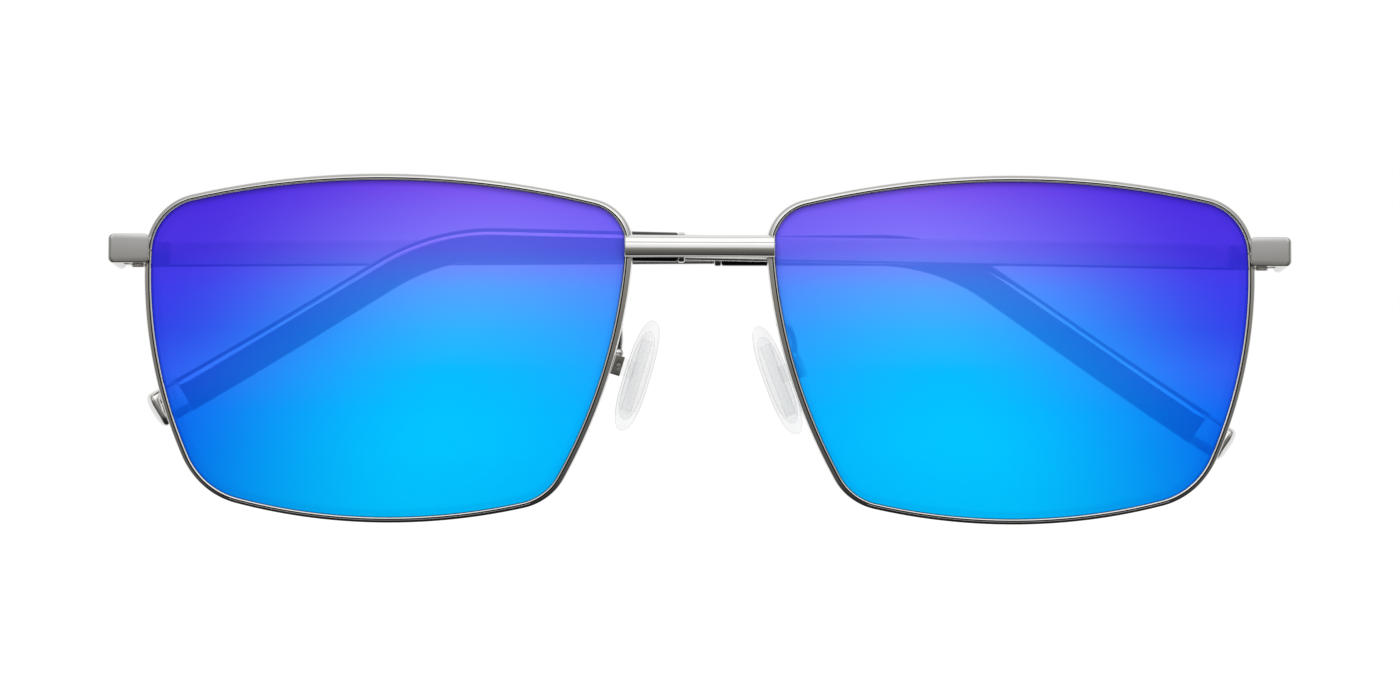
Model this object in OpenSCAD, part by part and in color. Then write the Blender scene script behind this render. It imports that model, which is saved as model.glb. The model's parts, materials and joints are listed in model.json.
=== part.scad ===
// Folding metal sunglasses with squared full rims, one straight bridge bar,
// screw-on nose pads, barrel hinges and sleeved temple tips, folded shut.
// +X is the wearer's left, -Y is the side that faces forward and +Z is up.
// The origin is the nose saddle, midway between the two nose pads.

/* [Lens outline] */
// Half the distance between the two lens centres
lens_x = 37.4; // [34:0.1:42]
// Upper outer corner: centre outward, centre up, radius
corner_upper_outer = [22.48, 11.55, 6.4]; // [-30:0.1:30]
// Upper inner corner: centre outward, centre up, radius
corner_upper_inner = [-23.4, 12.4, 5]; // [-30:0.1:30]
// Lower inner corner: centre outward, centre up, radius
corner_lower_inner = [-14.7, -11.9, 6.6]; // [-30:0.1:30]
// Lower outer corner: centre outward, centre up, radius
corner_lower_outer = [16.05, -9.2, 9]; // [-30:0.1:30]
// Radius of the top edge
edge_top_r = 110; // [80:1:300]
// Radius of the edge beside the nose
edge_inner_r = 64; // [50:1:120]
// Radius of the bottom edge
edge_bottom_r = 75; // [60:1:200]
// Radius of the edge beside the hinge
edge_outer_r = 56; // [50:1:120]

/* [Front] */
// Radius that each lens is curved to
base_r = 132.5; // [90:0.5:200]
// Angle that each lens wraps back towards the temple
wrap = 4; // [0:0.5:8]
// Lens thickness
lens_t = 1.8; // [1.6:0.1:2]
// Width of the rim wire seen from the front
rim_w = 0.8; // [0.75:0.05:1.5]
// Depth of the rim wire from front to back
rim_d = 2; // [1.9:0.1:3]
// Depth of the groove that holds the lens
groove_d = 0.4; // [0.3:0.05:0.5]
// Height of the bridge bar
bridge_h = 2.7; // [2:0.1:4]
// Thickness of the bridge bar
bridge_t = 1.6; // [1.2:0.05:2.5]
// Height of the bridge bar's middle above the lens centres
bridge_z = 12.4; // [10:0.1:13]
// How far the lens apexes stand in front of the nose saddle
lens_forward = 9.5; // [8:0.5:12]
// How far the lens centres stand above the nose saddle
lens_raise = 3.3; // [2:0.1:6]

/* [Hinges] */
// Distance from the middle of the glasses to each hinge pin
pin_x = 68.35; // [68:0.05:69]
// Distance of the hinge pins behind the lens apexes
pin_y = 14.5; // [13:0.5:18]
// Height of the hinge pins' middle above the lens centres
pin_z = 11.6; // [11:0.1:12]
// Angle that the hinge pins lean back
lean = 4; // [0:0.5:8]
// Outer radius of the hinge barrels
barrel_r = 1.25; // [1.1:0.05:1.3]
// Height of the middle barrel
barrel_h = 1.1; // [1:0.1:1.4]
// Radius of the hinge screws' shanks
pin_r = 0.6; // [0.5:0.05:0.7]
// Fold angle at rest: left temple, right temple
fold_angle = [91, 89]; // [85:0.5:95]

/* [Temples] */
// Length from hinge pin to tip, along the temple
temple_len = 140; // [130:1:150]
// Height of the metal bar
bar_h = 3.1; // [2.5:0.1:3.5]
// Thickness of the metal bar
bar_t = 1.4; // [1:0.1:1.4]
// Length of the metal bar from hinge pin to sleeve
bar_len = 71; // [60:1:80]
// Start of the ear bend: left temple, right temple
bend_start = [93, 90]; // [85:0.5:100]
// Ear bend angle: left temple, right temple
bend_angle = [32.5, 35.5]; // [20:0.5:45]
// Rise of the bar from hinge to bend: left temple, right temple
bar_rise = [0.8, 0.6]; // [0:0.1:2]
// Ear bend radius
bend_r = 25; // [20:1:40]
// Height of the sleeve where it starts
sleeve_h = 3.6; // [3.4:0.1:4.5]
// Height of the sleeve at the tip
sleeve_tip_h = 4.4; // [4:0.1:6]
// Thickness of the sleeve
sleeve_t = 2.8; // [2.6:0.1:2.8]
// Length of the metal end cap
cap_len = 4; // [2:0.5:6]
// Radius of the tip's curve towards the head
tip_curve_r = 75; // [60:5:200]
// Where the tip's curve towards the head starts
tip_curve_start = 118; // [110:1:125]

/* [Nose pads] */
// Pad length, width and thickness
pad_size = [13.9, 7.5, 2.6]; // [2:0.1:15]
// Distance of each pad's centre from the middle: left, right
pad_x = [9.5, 7.6]; // [7:0.1:10]
// Drop of each pad's centre below the lens centres: left, right
pad_drop = [3.6, 3.1]; // [2:0.1:5]
// Sideways tilt of each pad: left, right
pad_tilt = [21, 17]; // [10:1:30]
// Angle that the pads splay open towards the face
pad_splay = 15; // [5:1:30]
// Radius of the pad arms' wire
arm_r = 0.45; // [0.4:0.05:0.6]

/* [Hidden] */

LEFT = 1;    // the wearer's left, at +X
RIGHT = -1;  // the wearer's right, at -X
$fn = 40;
metal = "silver";
dark_metal = "dimgray";
clear = [0.85, 0.88, 0.9, 0.6];
eps = 0.01;
over = 1;        // how far a cutting shape reaches past what it cuts
fit = 0.05;      // clearance between a screw and its hole

function for_side(pair, side) = side == LEFT ? pair[0] : pair[1];

// ---- Lens outline ----
corner_steps = 9;
edge_steps = 7;
split_gap = 0.12;  // cut in each rim, closed by the rim lock

CORNERS = [corner_upper_outer, corner_upper_inner, corner_lower_inner, corner_lower_outer];
EDGE_R = [edge_top_r, edge_inner_r, edge_bottom_r, edge_outer_r];

function flat(c) = [c[0], c[1]];
function heading(v) = (atan2(v[1], v[0]) + 360) % 360;
function after(a, b) = b < a ? b + 360 : b;

// Centre of the edge arc that runs smoothly into corner a and corner b
function edge_centre(a, b, r) =
    let (
        gap = flat(b) - flat(a),
        d = norm(gap),
        dir = gap / d,
        ra = r - a[2],
        rb = r - b[2],
        along = (ra * ra - rb * rb + d * d) / (2 * d),
        inward = sqrt(ra * ra - along * along)
    )
    flat(a) + dir * along + [-dir[1], dir[0]] * inward;

EDGES = [for (i = [0:3]) edge_centre(CORNERS[i], CORNERS[(i + 1) % 4], EDGE_R[i])];

// Each entry of an arc is [outward, up, normal outward, normal up]
function arc(c, r, a, b, steps) =
    [for (k = [0:steps - 1]) let (t = a + (b - a) * k / steps)
        [c[0] + r * cos(t), c[1] + r * sin(t), cos(t), sin(t)]];

function corner_arc(i) =
    let (
        a = heading(flat(CORNERS[i]) - EDGES[(i + 3) % 4]),
        b = after(a, heading(flat(CORNERS[i]) - EDGES[i]))
    )
    arc(CORNERS[i], CORNERS[i][2], a, b, corner_steps);

function edge_arc(i) =
    let (
        a = heading(flat(CORNERS[i]) - EDGES[i]),
        b = after(a, heading(flat(CORNERS[(i + 1) % 4]) - EDGES[i]))
    )
    arc(EDGES[i], EDGE_R[i], a, b, edge_steps);

// The outline runs anticlockwise from the split in the rim
OUTLINE = [for (i = [0:3]) each concat(corner_arc(i), edge_arc(i))];
split_at = OUTLINE[0];
split_turn = split_gap / edge_outer_r * 180 / PI;
split_end = heading(flat(split_at) - EDGES[3]) - split_turn;
RIM_PATH = concat(OUTLINE, arc(EDGES[3], edge_outer_r, split_end, split_end + 1, 1));

function sag(u, v) = base_r - sqrt(base_r * base_r - u * u - v * v);

// A point beside outline entry p: a outward of it, b behind the front surface
function beside(p, a, b) =
    let (u = p[0] + p[2] * a, v = p[1] + p[3] * a)
    [u, sag(u, v) + b, v];

// ---- Frames of reference, each drawn for the left side and mirrored ----
module on_side(side) {
    mirror([side == RIGHT ? 1 : 0, 0, 0])
        translate([0, -lens_forward, lens_raise]) children();
}

module at_lens(side) {
    on_side(side) translate([lens_x, 0, 0]) rotate([0, 0, wrap]) children();
}

// +X points outward, +Y back and +Z along the hinge pin
module at_hinge(side) {
    on_side(side) translate([pin_x, pin_y, pin_z]) rotate([-lean, 0, 0]) children();
}

module at_temple(side) {
    at_hinge(side) rotate([0, 0, for_side(fold_angle, side)]) children();
}

// +X points away from the nose, +Y back across the pad, +Z up along the pad
module at_pad(side) {
    on_side(side)
        translate([for_side(pad_x, side), lens_forward, -for_side(pad_drop, side)])
            rotate([0, -for_side(pad_tilt, side), 0])
                rotate([0, 0, -pad_splay]) children();
}

// ---- Skins over rings of points ----
// A closed body through equal rings, with flat ends fanned from each first point
module loft(rings) {
    n = len(rings[0]);
    last = len(rings) - 1;
    walls = [for (i = [0:last - 1], j = [0:n - 1])
        let (k = (j + 1) % n)
        each [[i * n + j, i * n + k, (i + 1) * n + k],
              [i * n + j, (i + 1) * n + k, (i + 1) * n + j]]];
    first_end = [for (j = [1:n - 2]) [0, j + 1, j]];
    last_end = [for (j = [1:n - 2]) [last * n, last * n + j, last * n + j + 1]];
    polyhedron([for (r = rings) each r], concat(walls, first_end, last_end), 4);
}

// A closed body through equal rings, with a pole at each end
module domed(pole_a, rings, pole_b) {
    n = len(rings[0]);
    last = len(rings) - 1;
    top = len(rings) * n;
    walls = [for (i = [0:last - 1], j = [0:n - 1])
        let (k = (j + 1) % n)
        each [[i * n + j, i * n + k, (i + 1) * n + k],
              [i * n + j, (i + 1) * n + k, (i + 1) * n + j]]];
    fan_a = [for (j = [0:n - 1]) [top, (j + 1) % n, j]];
    fan_b = [for (j = [0:n - 1]) [top + 1, last * n + j, last * n + (j + 1) % n]];
    polyhedron(concat([for (r = rings) each r], [pole_a, pole_b]),
        concat(walls, fan_a, fan_b), 4);
}

// ---- Front ----
rim_bevel = 0.25;
groove_half = 0.5;
// Rim section as [outward, back] from the lens opening, from its V groove's bottom
RIM_SECTION = [
    [groove_d, rim_d / 2], [0, rim_d / 2 + groove_half], [0, rim_d - rim_bevel],
    [rim_bevel, rim_d], [rim_w - rim_bevel, rim_d], [rim_w, rim_d - rim_bevel],
    [rim_w, rim_bevel], [rim_w - rim_bevel, 0], [rim_bevel, 0],
    [0, rim_bevel], [0, rim_d / 2 - groove_half]
];

module rim(side) {
    color(metal) at_lens(side)
        loft([for (p = RIM_PATH) [for (q = RIM_SECTION) beside(p, q[0], q[1])]]);
}

lens_gap = 0.04;                     // between the lens edge and the rim
lens_front = (rim_d - lens_t) / 2;   // the lens sits in the middle of the rim
lens_back = lens_front + lens_t;
LENS_RINGS = [0.36, 0.7];

function lens_ring(share, b) =
    [for (p = OUTLINE)
        let (u = (p[0] - p[2] * lens_gap) * share, v = (p[1] - p[3] * lens_gap) * share)
        [u, sag(u, v) + b, v]];

function edge_ring(a, b) = [for (p = OUTLINE) beside(p, a, b)];

module lens(side) {
    face_rings = [for (s = LENS_RINGS) lens_ring(s, lens_front)];
    edge_rings = [
        edge_ring(-lens_gap, lens_front),
        edge_ring(-lens_gap, rim_d / 2 - groove_half + 2 * lens_gap),
        edge_ring(groove_d - 2 * lens_gap, rim_d / 2),
        edge_ring(-lens_gap, rim_d / 2 + groove_half - 2 * lens_gap),
        edge_ring(-lens_gap, lens_back)
    ];
    back_rings = [for (i = [1:-1:0]) lens_ring(LENS_RINGS[i], lens_back)];
    color("royalblue", 0.8) at_lens(side)
        domed([0, lens_front, 0], concat(face_rings, edge_rings, back_rings),
            [0, lens_back, 0]);
}

bridge_half = 8.95;  // reaches onto the front of each rim
bridge_back = 2;     // depth of its flat back behind the lens apexes

module bridge() {
    belly = (bridge_h * bridge_h / 4 + bridge_t * bridge_t) / (2 * bridge_t);
    color(metal) translate([-bridge_half, bridge_back - lens_forward, bridge_z + lens_raise])
        rotate([90, 0, 90]) linear_extrude(2 * bridge_half) intersection() {
            translate([-bridge_t, -bridge_h / 2]) square([bridge_t, bridge_h]);
            translate([belly - bridge_t, 0]) circle(belly, $fn = 96);
        }
}

// ---- Endpieces and rim locks ----
outer_face = 2.75;     // outer face of endpiece and bar, outward of the pin
leg_t = 1.2;
plate_t = 1.2;
plate_h = 3.5;
plate_drop = 0.2;      // middle of the endpiece below the pin's middle
corner_r = 0.8;         // bend from the plate to the leg
plate_corner_r = 0.5;   // corners of the plate as seen from the front
joint_gap = 0.15;      // end of the leg and end of the bar, each from the pin
plate_front = -9.3;    // front of the endpiece, from the pin
plate_in = -2.2;       // inner end of the endpiece, from the pin

module endpiece_plan() {
    difference() {
        union() {
            translate([plate_in, plate_front])
                square([outer_face - corner_r - plate_in, plate_t]);
            translate([outer_face - corner_r, plate_front + corner_r])
                circle(corner_r);
            translate([outer_face - leg_t, plate_front + corner_r])
                square([leg_t, -joint_gap - plate_front - corner_r]);
        }
        translate([plate_in, plate_front + plate_t])
            square([outer_face - leg_t - plate_in, -plate_front]);
    }
}

module endpiece(side) {
    color(metal) at_hinge(side) translate([0, 0, -plate_drop]) intersection() {
        translate([0, 0, -plate_h / 2]) linear_extrude(plate_h) endpiece_plan();
        rotate([90, 0, 0]) linear_extrude(-plate_front + over)
            rounded(plate_in, outer_face, plate_h, plate_corner_r);
    }
}

// A rectangle from x0 to x1, centred in height, with round corners
module rounded(x0, x1, h, r) {
    translate([x0 + r, -h / 2]) square([x1 - x0 - 2 * r, h]);
    translate([x0, r - h / 2]) square([x1 - x0, h - 2 * r]);
    for (x = [x0 + r, x1 - r], z = [r - h / 2, h / 2 - r])
        translate([x, z]) circle(r);
}

lock_x = [66.58, 68.85];
lock_y = [6.5, 8.9];
lock_h = 1.45;
lock_screw_at = [67.7, 7.75];
lock_screw_r = 0.5;
slot_depth = 0.2;     // screwdriver slot in every screw head
lock_head_r = 0.8;
lock_head_h = 0.45;
lock_gap = 0.02;      // between each lock block and the cut in the rim
split_z = split_at[1];
lock_low_z = split_z - split_gap - lock_gap - lock_h;

module lock_block(side, z0) {
    color(dark_metal) on_side(side) difference() {
        translate([lock_x[0], lock_y[0], z0])
            cube([lock_x[1] - lock_x[0], lock_y[1] - lock_y[0], lock_h]);
        translate([lock_screw_at[0], lock_screw_at[1], z0 - over])
            cylinder(h = lock_h + 2 * over, r = lock_screw_r + fit);
    }
}

module rim_lock_upper(side) { lock_block(side, split_z + lock_gap); }

module rim_lock_lower(side) { lock_block(side, lock_low_z); }

module rim_lock_screw(side) {
    color(dark_metal) on_side(side)
        translate([lock_screw_at[0], lock_screw_at[1], lock_low_z - lock_head_h])
            difference() {
                union() {
                    cylinder(h = lock_head_h, r = lock_head_r);
                    cylinder(h = lock_head_h + 2 * lock_h, r = lock_screw_r);
                }
                drive_slot(lock_head_r, 0.24);
            }
}

// Screwdriver slot, w wide, in the face at z = 0 of a screw head of radius r
module drive_slot(r, w) {
    translate([-2 * r, -w / 2, -over]) cube([4 * r, w, over + slot_depth]);
}

// ---- Hinges ----
outer_barrel_h = 0.8;
barrel_gap = 0.15;    // between barrels, where each washer sits
bore_r = pin_r + 0.06;
leaf_half = 1.4;
leaf_near = 1.4;      // leaf plates start this far from the pin
leaf_root = 0.4;      // overlap of each barrel's neck and its leaf
leaf_back = 0.6;      // inner face of both leaves, outward of the pin
front_leaf_far = 5.3;
temple_leaf_far = 3.6;
stack_half = barrel_h / 2 + barrel_gap + outer_barrel_h;

module barrel(z0, h, reach, out) {
    translate([0, 0, z0]) difference() {
        union() {
            cylinder(h = h, r = barrel_r);
            translate([0, min(0, reach), 0]) cube([out, abs(reach), h]);
        }
        translate([0, 0, -over]) cylinder(h = h + 2 * over, r = bore_r);
    }
}

module hinge_leaf_front(side) {
    out = outer_face - leg_t;
    color(dark_metal) at_hinge(side) {
        for (z0 = [-stack_half, barrel_h / 2 + barrel_gap])
            barrel(z0, outer_barrel_h, -leaf_near - leaf_root, out);
        translate([leaf_back, -front_leaf_far, -leaf_half])
            cube([out - leaf_back, front_leaf_far - leaf_near, 2 * leaf_half]);
    }
}

module hinge_leaf_temple(side) {
    out = outer_face - bar_t;
    color(dark_metal) at_temple(side) {
        barrel(-barrel_h / 2, barrel_h, leaf_near + leaf_root, out);
        translate([leaf_back, leaf_near, -leaf_half])
            cube([out - leaf_back, temple_leaf_far - leaf_near, 2 * leaf_half]);
    }
}

module hinge_screw(side) {
    head_r = 1.05;
    head_h = 0.4;
    color(dark_metal) at_hinge(side) difference() {
        union() {
            translate([0, 0, -stack_half]) cylinder(h = 2 * stack_half, r = pin_r);
            translate([0, 0, stack_half]) cylinder(h = head_h, r = head_r);
        }
        translate([0, 0, stack_half + head_h]) mirror([0, 0, 1]) drive_slot(head_r, 0.26);
    }
}

module hinge_washers(side) {
    washer_t = 0.1;
    color("white") at_hinge(side)
        for (z = [-1, 1]) translate([0, 0, z * (barrel_h + barrel_gap) / 2 - washer_t / 2])
            difference() {
                cylinder(h = washer_t, r = barrel_r - 0.05);
                translate([0, 0, -over]) cylinder(h = washer_t + 2 * over, r = bore_r);
            }
}

// ---- Temples ----
bar_mid = outer_face - bar_t / 2;
core_h = 1.3;
core_t = 1.1;
core_end = 126;
collar_len = 0.9;
collar_h = 3.7;
collar_t = 2.7;
core_clearance = 0.1;
core_end_gap = 0.5;    // free space past the wire core, inside the sleeve
sleeve_end = temple_len - cap_len;

// Place along a temple, s from the pin: [back, up, downward slope]
function temple_at(s, side) =
    let (
        s1 = for_side(bend_start, side),
        rise = for_side(bar_rise, side),
        full = for_side(bend_angle, side),
        turn = min(max(0, (s - s1) / bend_r * 180 / PI), full),
        run = max(0, s - s1 - full * PI / 180 * bend_r),
        a = turn - rise,
        before = min(s, s1)
    )
    [
        before * cos(rise) + bend_r * (sin(a) + sin(rise)) + run * cos(a),
        before * sin(rise) - bend_r * (cos(rise) - cos(a)) - run * sin(a),
        a
    ];

// How far the tip has curved towards the head at s
function tip_in(s) = pow(max(0, s - tip_curve_start), 2) / (2 * tip_curve_r);

// Ring of a round-cornered section, h high and t thick, at s along a temple
function temple_ring(s, side, h, t, steps = 12) =
    let (p = temple_at(s, side))
    [for (k = [0:steps - 1])
        let (
            a = (k + 0.5) * 360 / steps,
            across = t / 2 * sign(cos(a)) * pow(abs(cos(a)), 0.6),
            up = h / 2 * sign(sin(a)) * pow(abs(sin(a)), 0.6)
        )
        [bar_mid - tip_in(s) + across, p[0] + up * sin(p[2]), p[1] + up * cos(p[2])]];

function stations(from, to, steps) = [for (i = [0:steps]) from + (to - from) * i / steps];

module temple_bar(side) {
    bar = [for (s = stations(joint_gap, bar_len, 6)) temple_ring(s, side, bar_h, bar_t)];
    core = [for (s = stations(bar_len + eps, core_end, 24)) temple_ring(s, side, core_h, core_t)];
    color(metal) at_temple(side) loft(concat(bar, core));
}

module sleeve_collar(side) {
    from = bar_len - collar_len;
    color(metal) at_temple(side) difference() {
        loft([for (s = [from, bar_len]) temple_ring(s, side, collar_h, collar_t)]);
        loft([for (s = [from - over, bar_len + over])
            temple_ring(s, side, bar_h + 2 * eps, bar_t + 2 * eps)]);
    }
}

module temple_sleeve(side) {
    from = bar_len + fit;
    grow = (sleeve_tip_h - sleeve_h) / (sleeve_end - from);
    color([0.06, 0.06, 0.07]) at_temple(side) difference() {
        loft([for (s = stations(from, sleeve_end, 26))
            temple_ring(s, side, sleeve_h + grow * (s - from), sleeve_t)]);
        loft([for (s = stations(from - over, core_end + core_end_gap, 24))
            temple_ring(s, side, core_h + core_clearance, core_t + core_clearance)]);
    }
}

module end_cap(side) {
    sizes = [[0, 1], [0.5, 1], [0.92, 1], [0.98, 0.97], [1, 0.92]];
    color(metal) at_temple(side)
        loft([for (v = sizes)
            temple_ring(sleeve_end + cap_len * v[0], side, sleeve_tip_h * v[1], sleeve_t * v[1])]);
}

// ---- Nose pads ----
pivot_x = 2.75;       // pad screw, away from the nose from the pad's middle
pivot_z = 0.5;
box_x = [2.3, 3.45];
box_half_y = 1.05;
box_z = [-0.7, 1.7];
box_roof = 0.35;
tab_half = 0.35;      // half the thickness of the tab on the pad's core
tab_h = 2.1;
tab_end = 2.05;       // the tab's shoulder stops short of the box, so that the pad can rock
tongue_r = 0.5;       // round end of the tab, inside the box
tab_gap = 0.05;
pad_screw_r = 0.3;
pad_screw_head_r = 0.6;
pad_screw_head_h = 0.3;

// A point of the pad's own frame, in the frame of the front
function pad_point(side, v) =
    let (
        t = for_side(pad_tilt, side),
        x = v[0] * cos(pad_splay) + v[1] * sin(pad_splay),
        y = v[1] * cos(pad_splay) - v[0] * sin(pad_splay)
    )
    [
        for_side(pad_x, side) + x * cos(t) - v[2] * sin(t),
        lens_forward + y,
        -for_side(pad_drop, side) + x * sin(t) + v[2] * cos(t)
    ];

// Smooth curve through points p, at share t from point i to the next
function curve_at(p, i, t) =
    let (
        a = p[max(i - 1, 0)], b = p[i], c = p[i + 1], d = p[min(i + 2, len(p) - 1)]
    )
    (2 * b + (c - a) * t + (2 * a - 5 * b + 4 * c - d) * t * t
        + (3 * b - a - 3 * c + d) * t * t * t) / 2;

module pad_arm(side) {
    foot = pad_point(side, [(box_x[0] + box_x[1]) / 2, 0, box_z[1]]);
    route = [
        [9.7, 2.75, 3.1], [9.7, 4.2, 3.3], [(9.7 + foot[0]) / 2, 6.6, 3.1],
        foot + [-0.1, -0.7, 2.1], foot + [0, 0, 0.9], foot
    ];
    steps = 5;
    line = concat([for (i = [0:len(route) - 2], k = [0:steps - 1])
        curve_at(route, i, k / steps)], [foot]);
    color(metal) on_side(side) loft([for (i = [0:len(line) - 1])
        wire_ring(line[i], line[min(i + 1, len(line) - 1)] - line[max(i - 1, 0)], arm_r)]);
}

// Eight points round a wire at p that runs along dir
function wire_ring(p, dir, r) =
    let (
        d = dir / norm(dir),
        side_way = cross(d, [1, 0, 0]),
        e = side_way / norm(side_way),
        f = cross(d, e)
    )
    [for (k = [0:7]) p + r * (e * cos(-k * 45) + f * sin(-k * 45))];

module pad_box(side) {
    color(dark_metal) at_pad(side) difference() {
        translate([box_x[0], -box_half_y, box_z[0]])
            cube([box_x[1] - box_x[0], 2 * box_half_y, box_z[1] - box_z[0]]);
        translate([0, -tab_half - tab_gap, box_z[0] - over])
            cube([pivot_x + tongue_r + tab_gap, 2 * (tab_half + tab_gap),
                box_z[1] - box_z[0] - box_roof + over]);
        along_pad_width() cylinder(h = 4 * box_half_y, r = pad_screw_r + fit, center = true);
    }
}

module along_pad_width() {
    translate([pivot_x, 0, pivot_z]) rotate([90, 0, 0]) children();
}

module pad_screw(side) {
    color(dark_metal) at_pad(side) along_pad_width() {
        cylinder(h = 2 * box_half_y, r = pad_screw_r, center = true);
        translate([0, 0, -box_half_y - pad_screw_head_h]) difference() {
            cylinder(h = pad_screw_head_h, r = pad_screw_head_r);
            drive_slot(pad_screw_head_r, 0.2);
        }
    }
}

core_plate = [0.6, 3.2, 9];
core_gap = 0.02;

module pad_core(side) {
    color(clear) at_pad(side) difference() {
        union() {
            translate(-core_plate / 2) cube(core_plate);
            translate([0, -tab_half, pivot_z - tab_h / 2])
                cube([tab_end, 2 * tab_half, tab_h]);
            translate([0, -tab_half, pivot_z - tongue_r])
                cube([pivot_x, 2 * tab_half, 2 * tongue_r]);
            along_pad_width() cylinder(h = 2 * tab_half, r = tongue_r, center = true);
        }
        along_pad_width() cylinder(h = 4 * tab_half, r = pad_screw_r + fit, center = true);
    }
}

// Ring of the pad at share u of its length, from -1 to 1
function pad_ring(u) =
    let (
        w = pad_size[1] / 2 * pow(1 - pow(abs(u), 2.6), 0.45) * (1 - 0.08 * u),
        t = pad_size[2] / 2 * pow(1 - pow(abs(u), 3), 0.5)
    )
    [for (k = [0:15]) let (a = -k * 22.5)
        [t * cos(a) - 0.25 * pow(sin(a), 2), w * sin(a), u * pad_size[0] / 2]];

module nose_pad(side) {
    shares = [-0.985, -0.92, -0.78, -0.55, -0.28, 0, 0.28, 0.55, 0.78, 0.92, 0.985];
    color(clear) at_pad(side) difference() {
        domed([0, 0, -pad_size[0] / 2], [for (u = shares) pad_ring(u)],
            [0, 0, pad_size[0] / 2]);
        translate(-core_plate / 2 - core_gap * [1, 1, 1])
            cube(core_plate + 2 * core_gap * [1, 1, 1]);
        translate([0, -tab_half - core_gap, pivot_z - tab_h / 2 - core_gap])
            cube([tab_end, 2 * (tab_half + core_gap), tab_h + 2 * core_gap]);
    }
}

rim(LEFT);  // rim_left
rim(RIGHT);  // rim_right
lens(LEFT);  // lens_left
lens(RIGHT);  // lens_right
bridge();
endpiece(LEFT);  // endpiece_left
endpiece(RIGHT);  // endpiece_right
rim_lock_upper(LEFT);  // rim_lock_upper_left
rim_lock_upper(RIGHT);  // rim_lock_upper_right
rim_lock_lower(LEFT);  // rim_lock_lower_left
rim_lock_lower(RIGHT);  // rim_lock_lower_right
rim_lock_screw(LEFT);  // rim_lock_screw_left
rim_lock_screw(RIGHT);  // rim_lock_screw_right
hinge_leaf_front(LEFT);  // hinge_leaf_front_left
hinge_leaf_front(RIGHT);  // hinge_leaf_front_right
hinge_leaf_temple(LEFT);  // hinge_leaf_temple_left
hinge_leaf_temple(RIGHT);  // hinge_leaf_temple_right
hinge_screw(LEFT);  // hinge_screw_left
hinge_screw(RIGHT);  // hinge_screw_right
hinge_washers(LEFT);  // hinge_washers_left
hinge_washers(RIGHT);  // hinge_washers_right
temple_bar(LEFT);  // temple_bar_left
temple_bar(RIGHT);  // temple_bar_right
sleeve_collar(LEFT);  // sleeve_collar_left
sleeve_collar(RIGHT);  // sleeve_collar_right
temple_sleeve(LEFT);  // temple_sleeve_left
temple_sleeve(RIGHT);  // temple_sleeve_right
end_cap(LEFT);  // end_cap_left
end_cap(RIGHT);  // end_cap_right
pad_arm(LEFT);  // pad_arm_left
pad_arm(RIGHT);  // pad_arm_right
pad_box(LEFT);  // pad_box_left
pad_box(RIGHT);  // pad_box_right
pad_screw(LEFT);  // pad_screw_left
pad_screw(RIGHT);  // pad_screw_right
pad_core(LEFT);  // pad_core_left
pad_core(RIGHT);  // pad_core_right
nose_pad(LEFT);  // nose_pad_left
nose_pad(RIGHT);  // nose_pad_right
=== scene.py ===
"""Looks for the folded metal sunglasses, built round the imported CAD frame.

Lengths are millimetres until a piece is placed. Shapes are drawn for the wearer's left,
at +X, and mirrored for the right.
"""

import json
from math import atan2, cos, hypot, pi, radians, sin, sqrt, tau

import bmesh
import bpy
from mathutils import Matrix, Vector

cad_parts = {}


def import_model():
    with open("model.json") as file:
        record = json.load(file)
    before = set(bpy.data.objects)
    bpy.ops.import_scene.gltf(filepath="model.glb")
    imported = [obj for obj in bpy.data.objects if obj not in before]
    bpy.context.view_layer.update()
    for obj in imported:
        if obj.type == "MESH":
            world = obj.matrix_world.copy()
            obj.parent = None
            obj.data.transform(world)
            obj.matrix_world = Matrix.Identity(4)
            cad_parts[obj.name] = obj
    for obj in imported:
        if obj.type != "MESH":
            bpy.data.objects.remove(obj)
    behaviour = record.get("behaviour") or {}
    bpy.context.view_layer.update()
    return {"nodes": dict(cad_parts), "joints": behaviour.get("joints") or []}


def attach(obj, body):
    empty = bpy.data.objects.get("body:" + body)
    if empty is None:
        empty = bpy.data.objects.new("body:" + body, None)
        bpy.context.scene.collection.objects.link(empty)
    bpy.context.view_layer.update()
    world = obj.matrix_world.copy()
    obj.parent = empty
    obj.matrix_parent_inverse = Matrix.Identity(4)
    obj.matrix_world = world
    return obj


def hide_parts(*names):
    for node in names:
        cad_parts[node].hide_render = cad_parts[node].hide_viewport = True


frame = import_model()

MM = 0.001
SIDES = {"left": 1, "right": -1}

# ---- Driving sizes, the same as the CAD part's ----
LENS_X = 37.4          # lens centre outward of the bridge's middle
LENS_FORWARD = 9.5     # lens apex in front of the frame's origin
LENS_RAISE = 3.3       # lens centre above the frame's origin
WRAP = 4               # degrees that each rim turns back
BASE_R = 132.5         # radius of the ball that the lens surface is part of
CORNERS = ((22.48, 11.55, 6.4), (-23.4, 12.4, 5), (-14.7, -11.9, 6.6), (16.05, -9.2, 9))
EDGE_R = (110, 64, 75, 56)     # of the edge that follows each corner
RIM_D = 2
GROOVE_D = 0.4
LENS_T = 1.8
BRIDGE_Z = 12.4
LEAN = 4               # degrees that the open temples slope down to the back
FOLD = {"left": 91, "right": 89}
BEND_START = {"left": 93, "right": 90}
BEND_ANGLE = {"left": 32.5, "right": 35.5}
BAR_RISE = {"left": 0.8, "right": 0.6}     # degrees that the bar climbs towards the bend
BEND_R = 25
TIP_CURVE_START = 118  # from here the temple also curves inward
TIP_CURVE_R = 75
OUTER_FACE = 2.75      # outer face of the temple outward of the pin
BAR_H = 3.1
BAR_T = 1.4
BAR_LEN = 71
BAR_MID = OUTER_FACE - BAR_T / 2
SLEEVE_H = 3.6
SLEEVE_TIP_H = 4.4
SLEEVE_T = 2.8
TEMPLE_LEN = 140
CAP_LEN = 4
PAD_X = {"left": 9.5, "right": 7.6}
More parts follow.
